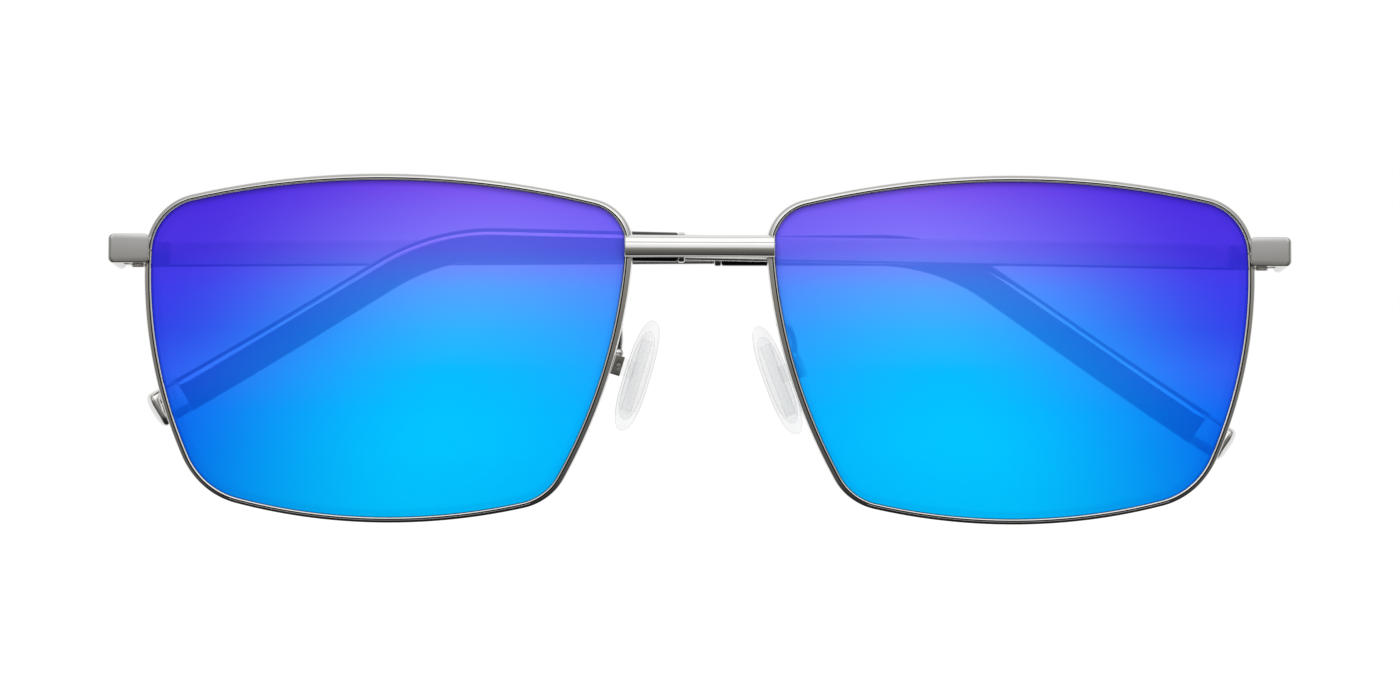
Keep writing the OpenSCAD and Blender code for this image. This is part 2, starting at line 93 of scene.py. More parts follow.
PAD_DROP = {"left": 3.6, "right": 3.1}
PAD_TILT = {"left": 21, "right": 17}
PAD_SPLAY = 15
PAD_LEN = 13.9
PAD_W = 7.5
PAD_T = 2.6


# ---- Places ----
def turn(angle, axis):
    return Matrix.Rotation(radians(angle), 4, axis)


def shift(x, y, z):
    return Matrix.Translation((x, y, z))


def at_front(side):
    """From the lens apexes' plane, at the height of the lens centres."""
    mirror = Matrix.Diagonal((SIDES[side], 1, 1, 1))
    return Matrix.Scale(MM, 4) @ mirror @ shift(0, -LENS_FORWARD, LENS_RAISE)


def at_lens(side):
    """From the lens apex, turned with the rim."""
    return at_front(side) @ shift(LENS_X, 0, 0) @ turn(WRAP, "Z")


def joint(name):
    return next(j for j in frame["joints"] if j["name"] == name)


def at_hinge(side):
    """From the middle of the hinge pin, leaning with it."""
    x, y, z = (v / MM for v in joint(f"temple_hinge_{side}")["pos_m"])
    pin = shift(abs(x), y + LENS_FORWARD, z - LENS_RAISE)
    return at_front(side) @ pin @ turn(-LEAN, "X")


def at_temple(side):
    """Like at_hinge, turned with the folded temple. The temple runs along y."""
    return at_hinge(side) @ turn(FOLD[side], "Z")


def at_pad(side):
    """From the middle of the nose pad, with its length along z."""
    place = shift(PAD_X[side], LENS_FORWARD, -PAD_DROP[side])
    return at_front(side) @ place @ turn(-PAD_TILT[side], "Y") @ turn(-PAD_SPLAY, "Z")


# ---- Mesh building ----
def finish_piece(obj, body, nodes):
    """Puts the object on its body and hides the CAD parts that it takes the place of."""
    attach(obj, body)
    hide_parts(*nodes)
    return obj


def smooth(mesh, angle):
    """Shades the mesh smooth, apart from edges sharper than angle."""
    bm = bmesh.new()
    bm.from_mesh(mesh)
    bmesh.ops.recalc_face_normals(bm, faces=bm.faces)
    bm.to_mesh(mesh)
    bm.free()
    mesh.shade_smooth()
    mesh.set_sharp_from_angle(angle=radians(angle))


def piece(name, shape, place, material, body, nodes, sharp):
    """An object from (points, faces) in millimetres, put in place and on its body."""
    points, faces = shape
    mesh = bpy.data.meshes.new(name)
    mesh.from_pydata([place @ Vector(p) for p in points], [], faces)
    smooth(mesh, sharp)
    mesh.materials.append(material)
    obj = bpy.data.objects.new(name, mesh)
    bpy.context.collection.objects.link(obj)
    return finish_piece(obj, body, nodes)


def loft(rings, poles=None):
    """Skin over equal rings of points, closed flat or up to a pair of poles."""
    n = len(rings[0])
    points = [p for ring in rings for p in ring]
    last = len(points) - n
    faces = []
    for a in range(0, last, n):
        b = a + n
        faces += [(a + j, a + (j + 1) % n, b + (j + 1) % n, b + j) for j in range(n)]
    if poles:
        pole = len(points)
        points += poles
        faces += [(pole, (j + 1) % n, j) for j in range(n)]
        faces += [(pole + 1, last + j, last + (j + 1) % n) for j in range(n)]
    else:
        faces += [tuple(range(n - 1, -1, -1)), tuple(range(last, last + n))]
    return points, faces


def join(*shapes):
    """Several (points, faces) as one."""
    points, faces = [], []
    for more_points, more_faces in shapes:
        base = len(points)
        points += more_points
        faces += [tuple(base + i for i in f) for f in more_faces]
    return points, faces


TINY = 0.001           # least half-length of a rectangle's straight sides


def rounded_rect(w, h, r, steps=6):
    """Anticlockwise points of a w by h rectangle with corners of radius r."""
    r = min(r, w / 2 - TINY, h / 2 - TINY)
    out = []
    for k, (sx, sy) in enumerate(((1, 1), (-1, 1), (-1, -1), (1, -1))):
        for i in range(steps + 1):
            a = (k + i / steps) * pi / 2
            out.append((sx * (w / 2 - r) + r * cos(a), sy * (h / 2 - r) + r * sin(a)))
    return out


def curve(points, steps):
    """Points along a smooth curve through the given points."""
    pts = [Vector(p) for p in points]
    out = []
    for i in range(len(pts) - 1):
        a, b = pts[max(i - 1, 0)], pts[i]
        c, d = pts[i + 1], pts[min(i + 2, len(pts) - 1)]
        for k in range(steps):
            t = k / steps
            out.append(
                (2 * b + (c - a) * t + (2 * a - 5 * b + 4 * c - d) * t**2
                 + (3 * b - a - 3 * c + d) * t**3) / 2
            )
    return out + [pts[-1]]


WELD = 1e-6            # metres
FLAT_BELOW = radians(1)        # faces that turn less than this are merged
BEVEL_ABOVE = radians(35)      # edges that turn more than this are rounded


def refined(node, material, body, bevel):
    """A copy of a CAD node with its edges rounded off, which stands for the node."""
    mesh = frame["nodes"][node].data.copy()
    bm = bmesh.new()
    bm.from_mesh(mesh)
    bmesh.ops.remove_doubles(bm, verts=bm.verts, dist=WELD)
    bmesh.ops.dissolve_limit(bm, angle_limit=FLAT_BELOW, verts=bm.verts, edges=bm.edges)
    edges = [e for e in bm.edges if len(e.link_faces) == 2 and e.calc_face_angle() > BEVEL_ABOVE]
    bmesh.ops.bevel(bm, geom=edges, offset=bevel * MM, segments=3, profile=0.5,
                    affect="EDGES", clamp_overlap=True)
    bm.to_mesh(mesh)
    bm.free()
    smooth(mesh, 35)
    mesh.materials.clear()
    mesh.materials.append(material)
    obj = bpy.data.objects.new(f"{node}_finished", mesh)
    bpy.context.collection.objects.link(obj)
    return finish_piece(obj, body, [node])


# ---- Lens outline ----
def edge_centre(a, b, r):
    """Centre of the edge arc of radius r that runs smoothly into corners a and b."""
    dx, dy = b[0] - a[0], b[1] - a[1]
    d = hypot(dx, dy)
    ra, rb = r - a[2], r - b[2]
    along = (ra * ra - rb * rb + d * d) / (2 * d)
    inward = sqrt(ra * ra - along * along)
    return (a[0] + (dx * along - dy * inward) / d, a[1] + (dy * along + dx * inward) / d)


def arc(centre, r, a, b, steps):
    """Outline entries anticlockwise from angle a up to angle b, which is left out."""
    a, b = a % tau, b % tau
    b += tau if b < a else 0
    angles = [a + (b - a) * k / steps for k in range(steps)]
    return [(centre[0] + r * cos(t), centre[1] + r * sin(t), cos(t), sin(t)) for t in angles]


def heading(a, b):
    """Angle of the direction from b to a."""
    return atan2(a[1] - b[1], a[0] - b[0])


def outline(corner_steps, edge_steps):
    """(outward, up, normal outward, normal up) anticlockwise from the cut in the rim."""
    centres = [edge_centre(CORNERS[i], CORNERS[(i + 1) % 4], EDGE_R[i]) for i in range(4)]
    out = []
    for i, corner in enumerate(CORNERS):
        before, after = centres[i - 1], centres[i]
        out += arc(corner, corner[2], heading(corner, before), heading(corner, after), corner_steps)
        following = CORNERS[(i + 1) % 4]
        out += arc(after, EDGE_R[i], heading(corner, after), heading(following, after), edge_steps)
    return out


def sag(u, v):
    """How far the lens surface lies behind its apex at (u, v)."""
    return BASE_R - sqrt(BASE_R * BASE_R - u * u - v * v)


def beside(p, a, b):
    """The point a outward of outline entry p and b behind the front surface."""
    u, v = p[0] + p[2] * a, p[1] + p[3] * a
    return (u, sag(u, v) + b, v)


FINE = outline(corner_steps=30, edge_steps=26)


# ---- Materials ----
def new_material(name):
    """A material with its nodes, links and Principled shader."""
    mat = bpy.data.materials.new(name)
    mat.use_nodes = True
    nodes = mat.node_tree.nodes
    return mat, nodes, mat.node_tree.links, nodes["Principled BSDF"]


def ramp(nodes, links, source, stops):
    """The source as a colour that runs through the (position, colour) stops."""
    node = nodes.new("ShaderNodeValToRGB")
    elements = node.color_ramp.elements
    while len(elements) < len(stops):
        elements.new(0.5)
    for element, (at, colour) in zip(elements, stops):
        element.position = at
        element.color = (*colour, 1)
    links.new(source, node.inputs["Fac"])
    return node.outputs["Color"]


def maths(nodes, links, operation, a, b=None, c=None, clamp=False):
    """Result of a Math node on sockets and numbers."""
    node = nodes.new("ShaderNodeMath")
    node.operation = operation
    node.use_clamp = clamp
    for socket, value in zip(node.inputs, (a, b, c)):
        if isinstance(value, (int, float)):
            socket.default_value = value
        elif value is not None:
            links.new(value, socket)
    return node.outputs[0]


def noise(nodes, links, vector, scale, detail, stretch=None):
    """Noise from 0 to 1 at the vector, drawn out where stretch is small."""
    if stretch:
        mapping = nodes.new("ShaderNodeMapping")
        mapping.inputs["Scale"].default_value = stretch
        links.new(vector, mapping.inputs["Vector"])
        vector = mapping.outputs["Vector"]
    node = nodes.new("ShaderNodeTexNoise")
    node.inputs["Scale"].default_value = scale
    node.inputs["Detail"].default_value = detail
    links.new(vector, node.inputs["Vector"])
    return node.outputs["Fac"]


def span(nodes, links, value, low, high):
    """The value, which runs from 0 to 1, stretched to run from low to high."""
    node = nodes.new("ShaderNodeMapRange")
    node.inputs["To Min"].default_value = low
    node.inputs["To Max"].default_value = high
    links.new(value, node.inputs["Value"])
    return node.outputs["Result"]


def smooth_span(nodes, links, value, low, high):
    """A smooth step from 0 where the value is low to 1 where it is high."""
    node = nodes.new("ShaderNodeMapRange")
    node.interpolation_type = "SMOOTHSTEP"
    node.inputs["From Min"].default_value = low
    node.inputs["From Max"].default_value = high
    links.new(value, node.inputs["Value"])
    return node.outputs["Result"]


def bump(nodes, links, height, strength, distance, shader):
    """Raises the shader's surface where the height is large."""
    node = nodes.new("ShaderNodeBump")
    node.inputs["Strength"].default_value = strength
    node.inputs["Distance"].default_value = distance
    links.new(height, node.inputs["Height"])
    links.new(node.outputs["Normal"], shader.inputs["Normal"])


def object_position(nodes):
    return nodes.new("ShaderNodeTexCoord").outputs["Object"]


def times(nodes, links, colour, factors):
    """The colour with each channel multiplied by its own factor."""
    node = nodes.new("ShaderNodeVectorMath")
    node.operation = "MULTIPLY"
    links.new(colour, node.inputs[0])
    node.inputs[1].default_value = factors
    return node.outputs["Vector"]


def dimmed(nodes, links, colour, attribute):
    """The colour multiplied by a number that the mesh holds at each point."""
    number = nodes.new("ShaderNodeAttribute")
    number.attribute_name = attribute
    node = nodes.new("ShaderNodeVectorMath")
    node.operation = "SCALE"
    links.new(colour, node.inputs[0])
    links.new(number.outputs["Fac"], node.inputs["Scale"])
    return node.outputs["Vector"]


def blend(nodes, links, share, a, b):
    """Colour a where the share is 0, and colour b where it is 1."""
    node = nodes.new("ShaderNodeMix")
    node.data_type = "RGBA"
    links.new(share, node.inputs["Factor"])
    links.new(a, node.inputs["A"])
    links.new(b, node.inputs["B"])
    return node.outputs["Result"]


def see_through(mat, share, tint):
    """Mixes a transparent share into the finished material. Returns the transparent shader."""
    nodes, links = mat.node_tree.nodes, mat.node_tree.links
    clear_part = nodes.new("ShaderNodeBsdfTransparent")
    clear_part.inputs["Color"].default_value = (*tint, 1)
    mix = nodes.new("ShaderNodeMixShader")
    mix.inputs["Fac"].default_value = share
    links.new(nodes["Principled BSDF"].outputs[0], mix.inputs[1])
    links.new(clear_part.outputs[0], mix.inputs[2])
    links.new(mix.outputs[0], nodes["Material Output"].inputs["Surface"])
    return clear_part


# Depth of the surface marks, in metres
METAL_RELIEF = 0.00002
ACETATE_RELIEF = 0.00003
SILICONE_RELIEF = 0.00004


def metal(name, colour, rough, grain=0.0, wear=0.03):
    """Plated metal with faint polishing marks, and a little less shine where it is worn."""
    mat, nodes, links, shader = new_material(name)
    where = object_position(nodes)
    marks = noise(nodes, links, where, scale=900, detail=4)
    links.new(span(nodes, links, marks, rough, rough + wear), shader.inputs["Roughness"])
    tone = noise(nodes, links, where, scale=260, detail=2)
    dark = tuple(c * 0.96 for c in colour)
    links.new(ramp(nodes, links, tone, ((0.3, dark), (0.7, colour))), shader.inputs["Base Color"])
    shader.inputs["Metallic"].default_value = 1
    if grain:
        lines = noise(nodes, links, where, scale=1500, detail=2, stretch=(0.04, 1, 1))
        bump(nodes, links, lines, grain, METAL_RELIEF, shader)
    return mat


NICKEL = (0.87, 0.865, 0.85)
POLISHED = metal("polished_nickel", NICKEL, rough=0.04)
# The same polished nickel as the rim, made darker: painted shade on the endpiece's grey face
SHADED_END_METAL = metal("endpiece_nickel_painted_shade", (0.68, 0.676, 0.664), rough=0.04)
HINGE_METAL = metal("hinge_nickel", (0.5, 0.495, 0.485), rough=0.06, grain=0.08)
BRUSHED = metal("brushed_nickel", NICKEL, rough=0.24, grain=0.1, wear=0.08)
SCREW_STEEL = metal("screw_steel", (0.76, 0.75, 0.73), rough=0.12, grain=0.1)

# Lens colours from the bottom to the top, at its outer edge and towards the nose
OUTER_COLOURS = (
    (0.00, (0.001, 0.090, 0.83)),
    (0.20, (0.002, 0.098, 0.86)),
    (0.32, (0.006, 0.110, 0.90)),
    (0.44, (0.031, 0.098, 0.89)),
    (0.56, (0.030, 0.057, 0.80)),
    (0.68, (0.045, 0.045, 0.785)),
    (0.80, (0.064, 0.030, 0.70)),
    (0.90, (0.064, 0.024, 0.655)),
    (1.00, (0.060, 0.013, 0.62)),
)
INNER_COLOURS = (
    (0.00, (0.000, 0.515, 0.98)),
    (0.20, (0.000, 0.553, 1.00)),
    (0.32, (0.000, 0.539, 1.00)),
    (0.44, (0.001, 0.492, 1.00)),
    (0.56, (0.026, 0.434, 1.00)),
    (0.68, (0.082, 0.346, 0.948)),
    (0.80, (0.200, 0.176, 0.864)),
    (0.90, (0.195, 0.128, 0.785)),
    (1.00, (0.190, 0.070, 0.70)),
)
FADE_OUT = 30.3        # where the inner colours end, outward from the lens centre
FADE_IN = -10.5        # and where they are full
FADE_SLANT = 0.37
NOSE_FADE = -4.5       # towards the nose from here they weaken again
NOSE_FADE_RATE = -0.0006
LENS_HALF_H = 20.1
LENS_OPEN = 0.4        # share of the light that the mirror coat lets through
BACK_OPEN = 0.8        # and the back of the lens
LENS_ROUGH = 0.03
COAT_SHARE = (0.48, 0.69, 0.92)    # of the lens colour, in the coat and in the glass
GLASS_SHARE = (2.1, 1.5, 0.94)
SMOKE = (0.92, 0.91, 0.9)


def inner_share(nodes, links, outward, up):
    """Share of the inner colours: full at the middle, less towards the outer edge and the nose."""
    slanted = maths(nodes, links, "MULTIPLY_ADD", up, FADE_SLANT, outward)
    inner = smooth_span(nodes, links, slanted, FADE_OUT, FADE_IN)
    past = maths(nodes, links, "SUBTRACT", NOSE_FADE, outward)
    past = maths(nodes, links, "MAXIMUM", past, 0)
    past = maths(nodes, links, "MULTIPLY", past, past)
    nose = maths(nodes, links, "MULTIPLY_ADD", past, NOSE_FADE_RATE, 1)
    return maths(nodes, links, "MULTIPLY", inner, nose, clamp=True)


def mirror_lens(side):
    """Glass with a mirror coating that runs from violet through blue to cyan."""
    mat, nodes, links, shader = new_material(f"mirror_lens_{side}")
    parts = nodes.new("ShaderNodeSeparateXYZ")
    links.new(object_position(nodes), parts.inputs[0])
    outward = maths(nodes, links, "MULTIPLY_ADD", parts.outputs["X"], SIDES[side] / MM, -LENS_X)
    up = maths(nodes, links, "MULTIPLY_ADD", parts.outputs["Z"], 1 / MM, -LENS_RAISE)
    height = maths(nodes, links, "MULTIPLY_ADD", up, 0.5 / LENS_HALF_H, 0.5, clamp=True)
    outer_colour = ramp(nodes, links, height, OUTER_COLOURS)
    inner_colour = ramp(nodes, links, height, INNER_COLOURS)
    inner = inner_share(nodes, links, outward, up)
    colour = blend(nodes, links, inner, outer_colour, inner_colour)
    colour = dimmed(nodes, links, colour, "shade")
    links.new(times(nodes, links, colour, COAT_SHARE), shader.inputs["Base Color"])
    facing = nodes.new("ShaderNodeLayerWeight")
    facing.inputs["Blend"].default_value = 0.3
    metallic = span(nodes, links, facing.outputs["Facing"], 0.1, 0.85)
    links.new(metallic, shader.inputs["Metallic"])
    shader.inputs["Roughness"].default_value = LENS_ROUGH
    shader.inputs["Specular IOR Level"].default_value = 0.12
    glass = see_through(mat, LENS_OPEN, (1, 1, 1))
    links.new(times(nodes, links, colour, GLASS_SHARE), glass.inputs["Color"])
    return mat


def lens_back():
    """The smoke-tinted, uncoated back of the lens."""
    mat, nodes, links, shader = new_material("lens_back")
    tone = noise(nodes, links, object_position(nodes), scale=90, detail=2)
    colours = ((0.3, (0.010, 0.010, 0.012)), (0.7, (0.014, 0.013, 0.015)))
    links.new(ramp(nodes, links, tone, colours), shader.inputs["Base Color"])
    shader.inputs["Roughness"].default_value = LENS_ROUGH
    glass = see_through(mat, BACK_OPEN, SMOKE)
    darker = tuple(c * 0.985 for c in SMOKE)
    pale = ramp(nodes, links, tone, ((0.3, SMOKE), (0.7, darker)))
    links.new(dimmed(nodes, links, pale, "shade"), glass.inputs["Color"])
    return mat


def acetate():
    """Glossy black plastic with the faint ripple of a hand polish."""
    mat, nodes, links, shader = new_material("black_acetate")
    where = object_position(nodes)
    tone = noise(nodes, links, where, scale=150, detail=3)
    colours = ((0.35, (0.003, 0.003, 0.004)), (0.7, (0.006, 0.006, 0.008)))
    links.new(ramp(nodes, links, tone, colours), shader.inputs["Base Color"])
    smear = noise(nodes, links, where, scale=500, detail=3)
    links.new(span(nodes, links, smear, 0.06, 0.12), shader.inputs["Roughness"])
    ripple = noise(nodes, links, where, scale=220, detail=2)
    bump(nodes, links, ripple, 0.05, ACETATE_RELIEF, shader)
    shader.inputs["Specular IOR Level"].default_value = 0.6
    return mat


def clear(name, face_tint, edge_tint, share, rough):
    """Clear soft plastic: each skin dims what is behind it, more so where it is seen edge on."""
    mat, nodes, links, shader = new_material(name)
    where = object_position(nodes)
    tone = noise(nodes, links, where, scale=300, detail=2)
    colours = ((0.3, (0.78, 0.785, 0.785)), (0.7, (0.83, 0.835, 0.835)))
    links.new(ramp(nodes, links, tone, colours), shader.inputs["Base Color"])
    links.new(span(nodes, links, tone, rough, rough * 1.6), shader.inputs["Roughness"])
    dimples = noise(nodes, links, where, scale=700, detail=2)
    bump(nodes, links, dimples, 0.1, SILICONE_RELIEF, shader)
    skin = see_through(mat, share, face_tint)
    edge = nodes.new("ShaderNodeLayerWeight")
    edge.inputs["Blend"].default_value = 0.3
    tints = ((0.62, face_tint), (0.98, edge_tint))
    links.new(ramp(nodes, links, edge.outputs["Facing"], tints), skin.inputs["Color"])
    return mat


def nylon():
    """Off-white washer plastic."""
    mat, nodes, links, shader = new_material("nylon")
    tone = noise(nodes, links, object_position(nodes), scale=800, detail=3)
    colours = ((0.3, (0.70, 0.70, 0.66)), (0.7, (0.80, 0.80, 0.77)))
    links.new(ramp(nodes, links, tone, colours), shader.inputs["Base Color"])
    links.new(span(nodes, links, tone, 0.4, 0.6), shader.inputs["Roughness"])
    return mat


def crack_painted_shade():
    """Painted shade: near black, standing for the shadow inside a thin crack in the metal."""
    mat, nodes, links, shader = new_material("crack_painted_shade")
    tone = noise(nodes, links, object_position(nodes), scale=600, detail=2)
    colours = ((0.3, (0.006, 0.006, 0.006)), (0.7, (0.014, 0.013, 0.012)))
    links.new(ramp(nodes, links, tone, colours), shader.inputs["Base Color"])
    links.new(span(nodes, links, tone, 0.5, 0.7), shader.inputs["Roughness"])
    shader.inputs["Specular IOR Level"].default_value = 0.1
    return mat


BLACK = acetate()
SMOKE_BACK = lens_back()
SILICONE = clear("clear_silicone", face_tint=(0.972, 0.972, 0.972), edge_tint=(0.5, 0.505, 0.505),
                 share=0.94, rough=0.1)
CLEAR_CORE = clear("clear_core", face_tint=(0.98, 0.98, 0.98), edge_tint=(0.5, 0.5, 0.505),
                   share=0.94, rough=0.06)
NYLON = nylon()
# Near-black painted shade for the inside of the rim's crack
CRACK_PAINTED_SHADE = crack_painted_shade()


# ---- Front ----
# Rim section as (outward from the lens opening, back): bead beside the lens, deep thin crack,
# face that slopes back outward, rounded outer wall, rounded back and the groove for the lens
RIM_BEAD = ((0, 0.3), (0.005, 0.11), (0.02, 0.09), (0.04, 0.077), (0.065, 0.062), (0.09, 0.05),
            (0.11, 0.048), (0.125, 0.058), (0.134, 0.08))
RIM_CRACK = ((0.14, 0.1), (0.145, 0.3), (0.255, 0.3), (0.26, 0.1))
RIM_FACE = ((0.265, 0.07), (0.28, 0.052), (0.3, 0.05), (0.4, 0.09), (0.5, 0.134), (0.6, 0.182),
            (0.69, 0.228))
RIM_WALL = ((0.73, 0.266), (0.755, 0.293), (0.775, 0.32), (0.79, 0.35), (0.803, 0.4), (0.812, 0.47),
            (0.818, 0.56), (0.82, 0.8), (0.82, 1.1))
RIM_BACK = ((0.82, 1.5), (0.8, 1.7), (0.74, 1.87), (0.62, 1.97), (0.48, 1.99), (0.3, 1.99),
            (0.16, 1.95), (0.05, 1.86), (0, 1.7), (0, 1.5), (GROOVE_D, 1), (0, 0.5))
RIM_SECTION = RIM_BEAD + RIM_CRACK + RIM_FACE + RIM_WALL + RIM_BACK
CRACK_SPANS = range(len(RIM_BEAD), len(RIM_BEAD) + len(RIM_CRACK) - 1)
SLIM_FROM = 0.3        # past here the rim is narrower along its top and bottom
SLIM_TOP = 0.16
SLIM_BOTTOM = 0.4
RIM_GAP = 0.12


def rim_ring(p):
    """Ring of the rim at outline entry p."""
    slim = 1 - SLIM_TOP * max(0, p[3]) - SLIM_BOTTOM * max(0, -p[3])
    return [beside(p, min(a, SLIM_FROM) + max(0, a - SLIM_FROM) * slim, b) for a, b in RIM_SECTION]


def rim(side):
    """Wire round the lens, open by RIM_GAP at the cut, with painted shade inside its crack."""
    start = FINE[0]
    step_back = hypot(start[0] - FINE[-1][0], start[1] - FINE[-1][1])
    share = RIM_GAP / step_back
    end = tuple(a + (b - a) * share for a, b in zip(start, FINE[-1]))
    rings = [rim_ring(p) for p in FINE + [end]]
    obj = piece(f"rim_wire_{side}", loft(rings), at_lens(side), POLISHED, "front",
                [f"rim_{side}"], sharp=50)
    # The crack's faces take the near-black painted shade in place of their shadow
    obj.data.materials.append(CRACK_PAINTED_SHADE)
    for i, face in enumerate(obj.data.polygons):
        if i % len(RIM_SECTION) in CRACK_SPANS:
            face.material_index = 1


LENS_GAP = 0.04        # between the lens and the rim
RIDGE_GAP = 0.08       # between the ridge round the lens and the groove that holds it
GROOVE_HALF = 0.5
LENS_CHAMFER = 0.06
SHADE_TOP = 0.75       # reach of the rim's shade on the lens, at its top, side and bottom edges
SHADE_SIDE = 0.35
SHADE_BOTTOM = 0.2
SHADE_DARK = 0.25
SHADE_CURVE = 0.7
LENS_INSETS = (1.3, 1, 0.8, 0.6, 0.45, 0.3, 0.2, 0.1)
LENS_SHARES = (0.02, 0.06, 0.12, 0.2, 0.3, 0.4, 0.5, 0.6, 0.7, 0.8, 0.88)
GROUND_WIDTH = 0.9     # band along the back edge where the glass was ground to fit
GROUND_TONE = 0.8


def lens_ring(share, b):
    """Ring at a share of the way from the lens centre to its edge, b behind the front surface."""
    return [(u * share, sag(u * share, v * share) + b, v * share)
            for u, v in ((p[0] - p[2] * LENS_GAP, p[1] - p[3] * LENS_GAP) for p in FINE)]


def edge_shade(p, inset):
    """How much light the rim leaves on the front of the lens, inset from its edge at p."""
    longer = (SHADE_TOP - SHADE_SIDE) * max(0, p[3])
    shorter = (SHADE_SIDE - SHADE_BOTTOM) * max(0, -p[3])
    reach = SHADE_SIDE + longer - shorter
    return SHADE_DARK + (1 - SHADE_DARK) * min(1, inset / reach) ** SHADE_CURVE


def lens_shades(wall_rings):
    """Light left at each point of the lens: front out to the edge, wall, then back inward."""
    count = len(FINE)
    shades = [1.0] * (len(LENS_SHARES) * count)
    shades += [edge_shade(p, inset) for inset in LENS_INSETS for p in FINE]
    shades += [SHADE_DARK] * (wall_rings * count)
    shades += [GROUND_TONE if inset < GROUND_WIDTH else 1.0
               for inset in reversed(LENS_INSETS) for _ in FINE]
    return shades + [1.0] * (len(LENS_SHARES) * count + 2)


def lens(side):
    """Curved lens with a ridge round it: mirror coat at the front, smoke tint at the back."""
    front_b = (RIM_D - LENS_T) / 2
    back_b = front_b + LENS_T
    middle = RIM_D / 2
    ridge_half = GROOVE_HALF - RIDGE_GAP
    wall = ((-LENS_GAP - LENS_CHAMFER, front_b), (-LENS_GAP, front_b + LENS_CHAMFER),
            (-LENS_GAP, middle - ridge_half), (GROOVE_D - RIDGE_GAP, middle),
            (-LENS_GAP, middle + ridge_half), (-LENS_GAP, back_b - LENS_CHAMFER),
            (-LENS_GAP - LENS_CHAMFER, back_b))
    front = [lens_ring(s, front_b) for s in LENS_SHARES]
    front += [[beside(p, -inset, front_b) for p in FINE] for inset in LENS_INSETS]
    edge = [[beside(p, a, b) for p in FINE] for a, b in wall]
    back = [[beside(p, -inset, back_b) for p in FINE] for inset in reversed(LENS_INSETS)]
    back += [lens_ring(s, back_b) for s in reversed(LENS_SHARES)]
    shape = loft(front + edge + back, poles=((0, front_b, 0), (0, back_b, 0)))
    obj = piece(f"lens_glass_{side}", shape, at_lens(side), mirror_lens(side), "front",
                [f"lens_{side}"], sharp=30)
    shade = obj.data.attributes.new("shade", "FLOAT", "POINT")
    shade.data.foreach_set("value", lens_shades(len(wall)))
    obj.data.materials.append(SMOKE_BACK)
    obj.visible_glossy = False
    for face in obj.data.polygons:
        face.material_index = 1 if face.normal.y > 0.5 else 0


# Bridge section as (back, up) from the lens apexes and the bar's middle:
# top slope, bevel, crease, crowned face, lip and back
BRIDGE_TOP = ((2, 1.2), (1.97, 1.3), (1.88, 1.35), (1.7, 1.34), (1, 1.05), (0.94, 1.01))
BRIDGE_BEVEL = ((0.91, 0.97), (0.88, 0.92), (0.64, 0.52), (0.62, 0.48), (0.625, 0.45))
BRIDGE_FACE = ((0.62, 0.42), (0.58, 0.4), (0.555, 0.36), (0.511, 0.1), (0.481, -0.13),
               (0.468, -0.26), (0.466, -0.38), (0.473, -0.5), (0.488, -0.62), (0.507, -0.73),
               (0.532, -0.85), (0.562, -0.97), (0.615, -1.14))
BRIDGE_LIP = ((0.65, -1.17), (0.65, -1.19), (0.56, -1.25), (0.53, -1.29), (0.53, -1.32),
              (0.56, -1.35), (0.65, -1.37))
BRIDGE_UNDER = ((1, -1.37), (1.7, -1.36), (1.88, -1.35), (1.97, -1.3), (2, -1.2))
BRIDGE_SECTION = BRIDGE_TOP + BRIDGE_BEVEL + BRIDGE_FACE + BRIDGE_LIP + BRIDGE_UNDER
BRIDGE_BACK = 2        # plane of its back, behind the lens apexes
BRIDGE_HALF = 8.95
BRIDGE_ROUND = 0.15    # length of its rounded ends
END_NARROWS = 0.1      # and the share by which they narrow
BRIDGE_WAIST = 0.03    # share of its height that the middle loses
BRIDGE_STEPS = 20


def bridge():
    """A straight bar, faintly waisted, with rounded ends."""
    ends = [(BRIDGE_ROUND * (1 - cos(a)), 1 - END_NARROWS * (1 - sin(a)))
            for a in (k * pi / 8 for k in range(5))]
    stations = [(-BRIDGE_HALF + x, size) for x, size in ends]
    stations += [(BRIDGE_HALF * k / BRIDGE_STEPS, 1) for k in range(1 - BRIDGE_STEPS, BRIDGE_STEPS)]
    stations += [(BRIDGE_HALF - x, size) for x, size in reversed(ends)]
    rings = []
    for x, size in stations:
        waist = 1 - BRIDGE_WAIST * (1 - (x / BRIDGE_HALF) ** 2)
        rings.append([(x, BRIDGE_BACK - (BRIDGE_BACK - y) * size, BRIDGE_Z + z * waist * size)
                      for y, z in BRIDGE_SECTION])
    piece("bridge_bar", loft(rings), at_front("left"), POLISHED, "front",
          ["bridge"], sharp=35)


PLATE_FRONT = -9.3     # face of the endpiece, in front of the pin
PLATE_IN = -2.2        # its inner end, inward of the pin
PLATE_H = 3.5
PLATE_DROP = 0.2       # middle of the endpiece below the pin's middle
PLATE_T = 1.2
PLATE_END_R = 0.2      # front edge of the inner end
LEG_T = 1.2
LEG_END = -0.15        # end of the leg, in front of the pin's middle
TURN_R = 0.6           # outside of the bend
CORNER_R = 0.6         # corners as seen from the front
EDGE_SOFT = 0.12       # rounding along the face's top and bottom edges
FACE_CROWN = 0.02      # the face stands this much prouder along its middle


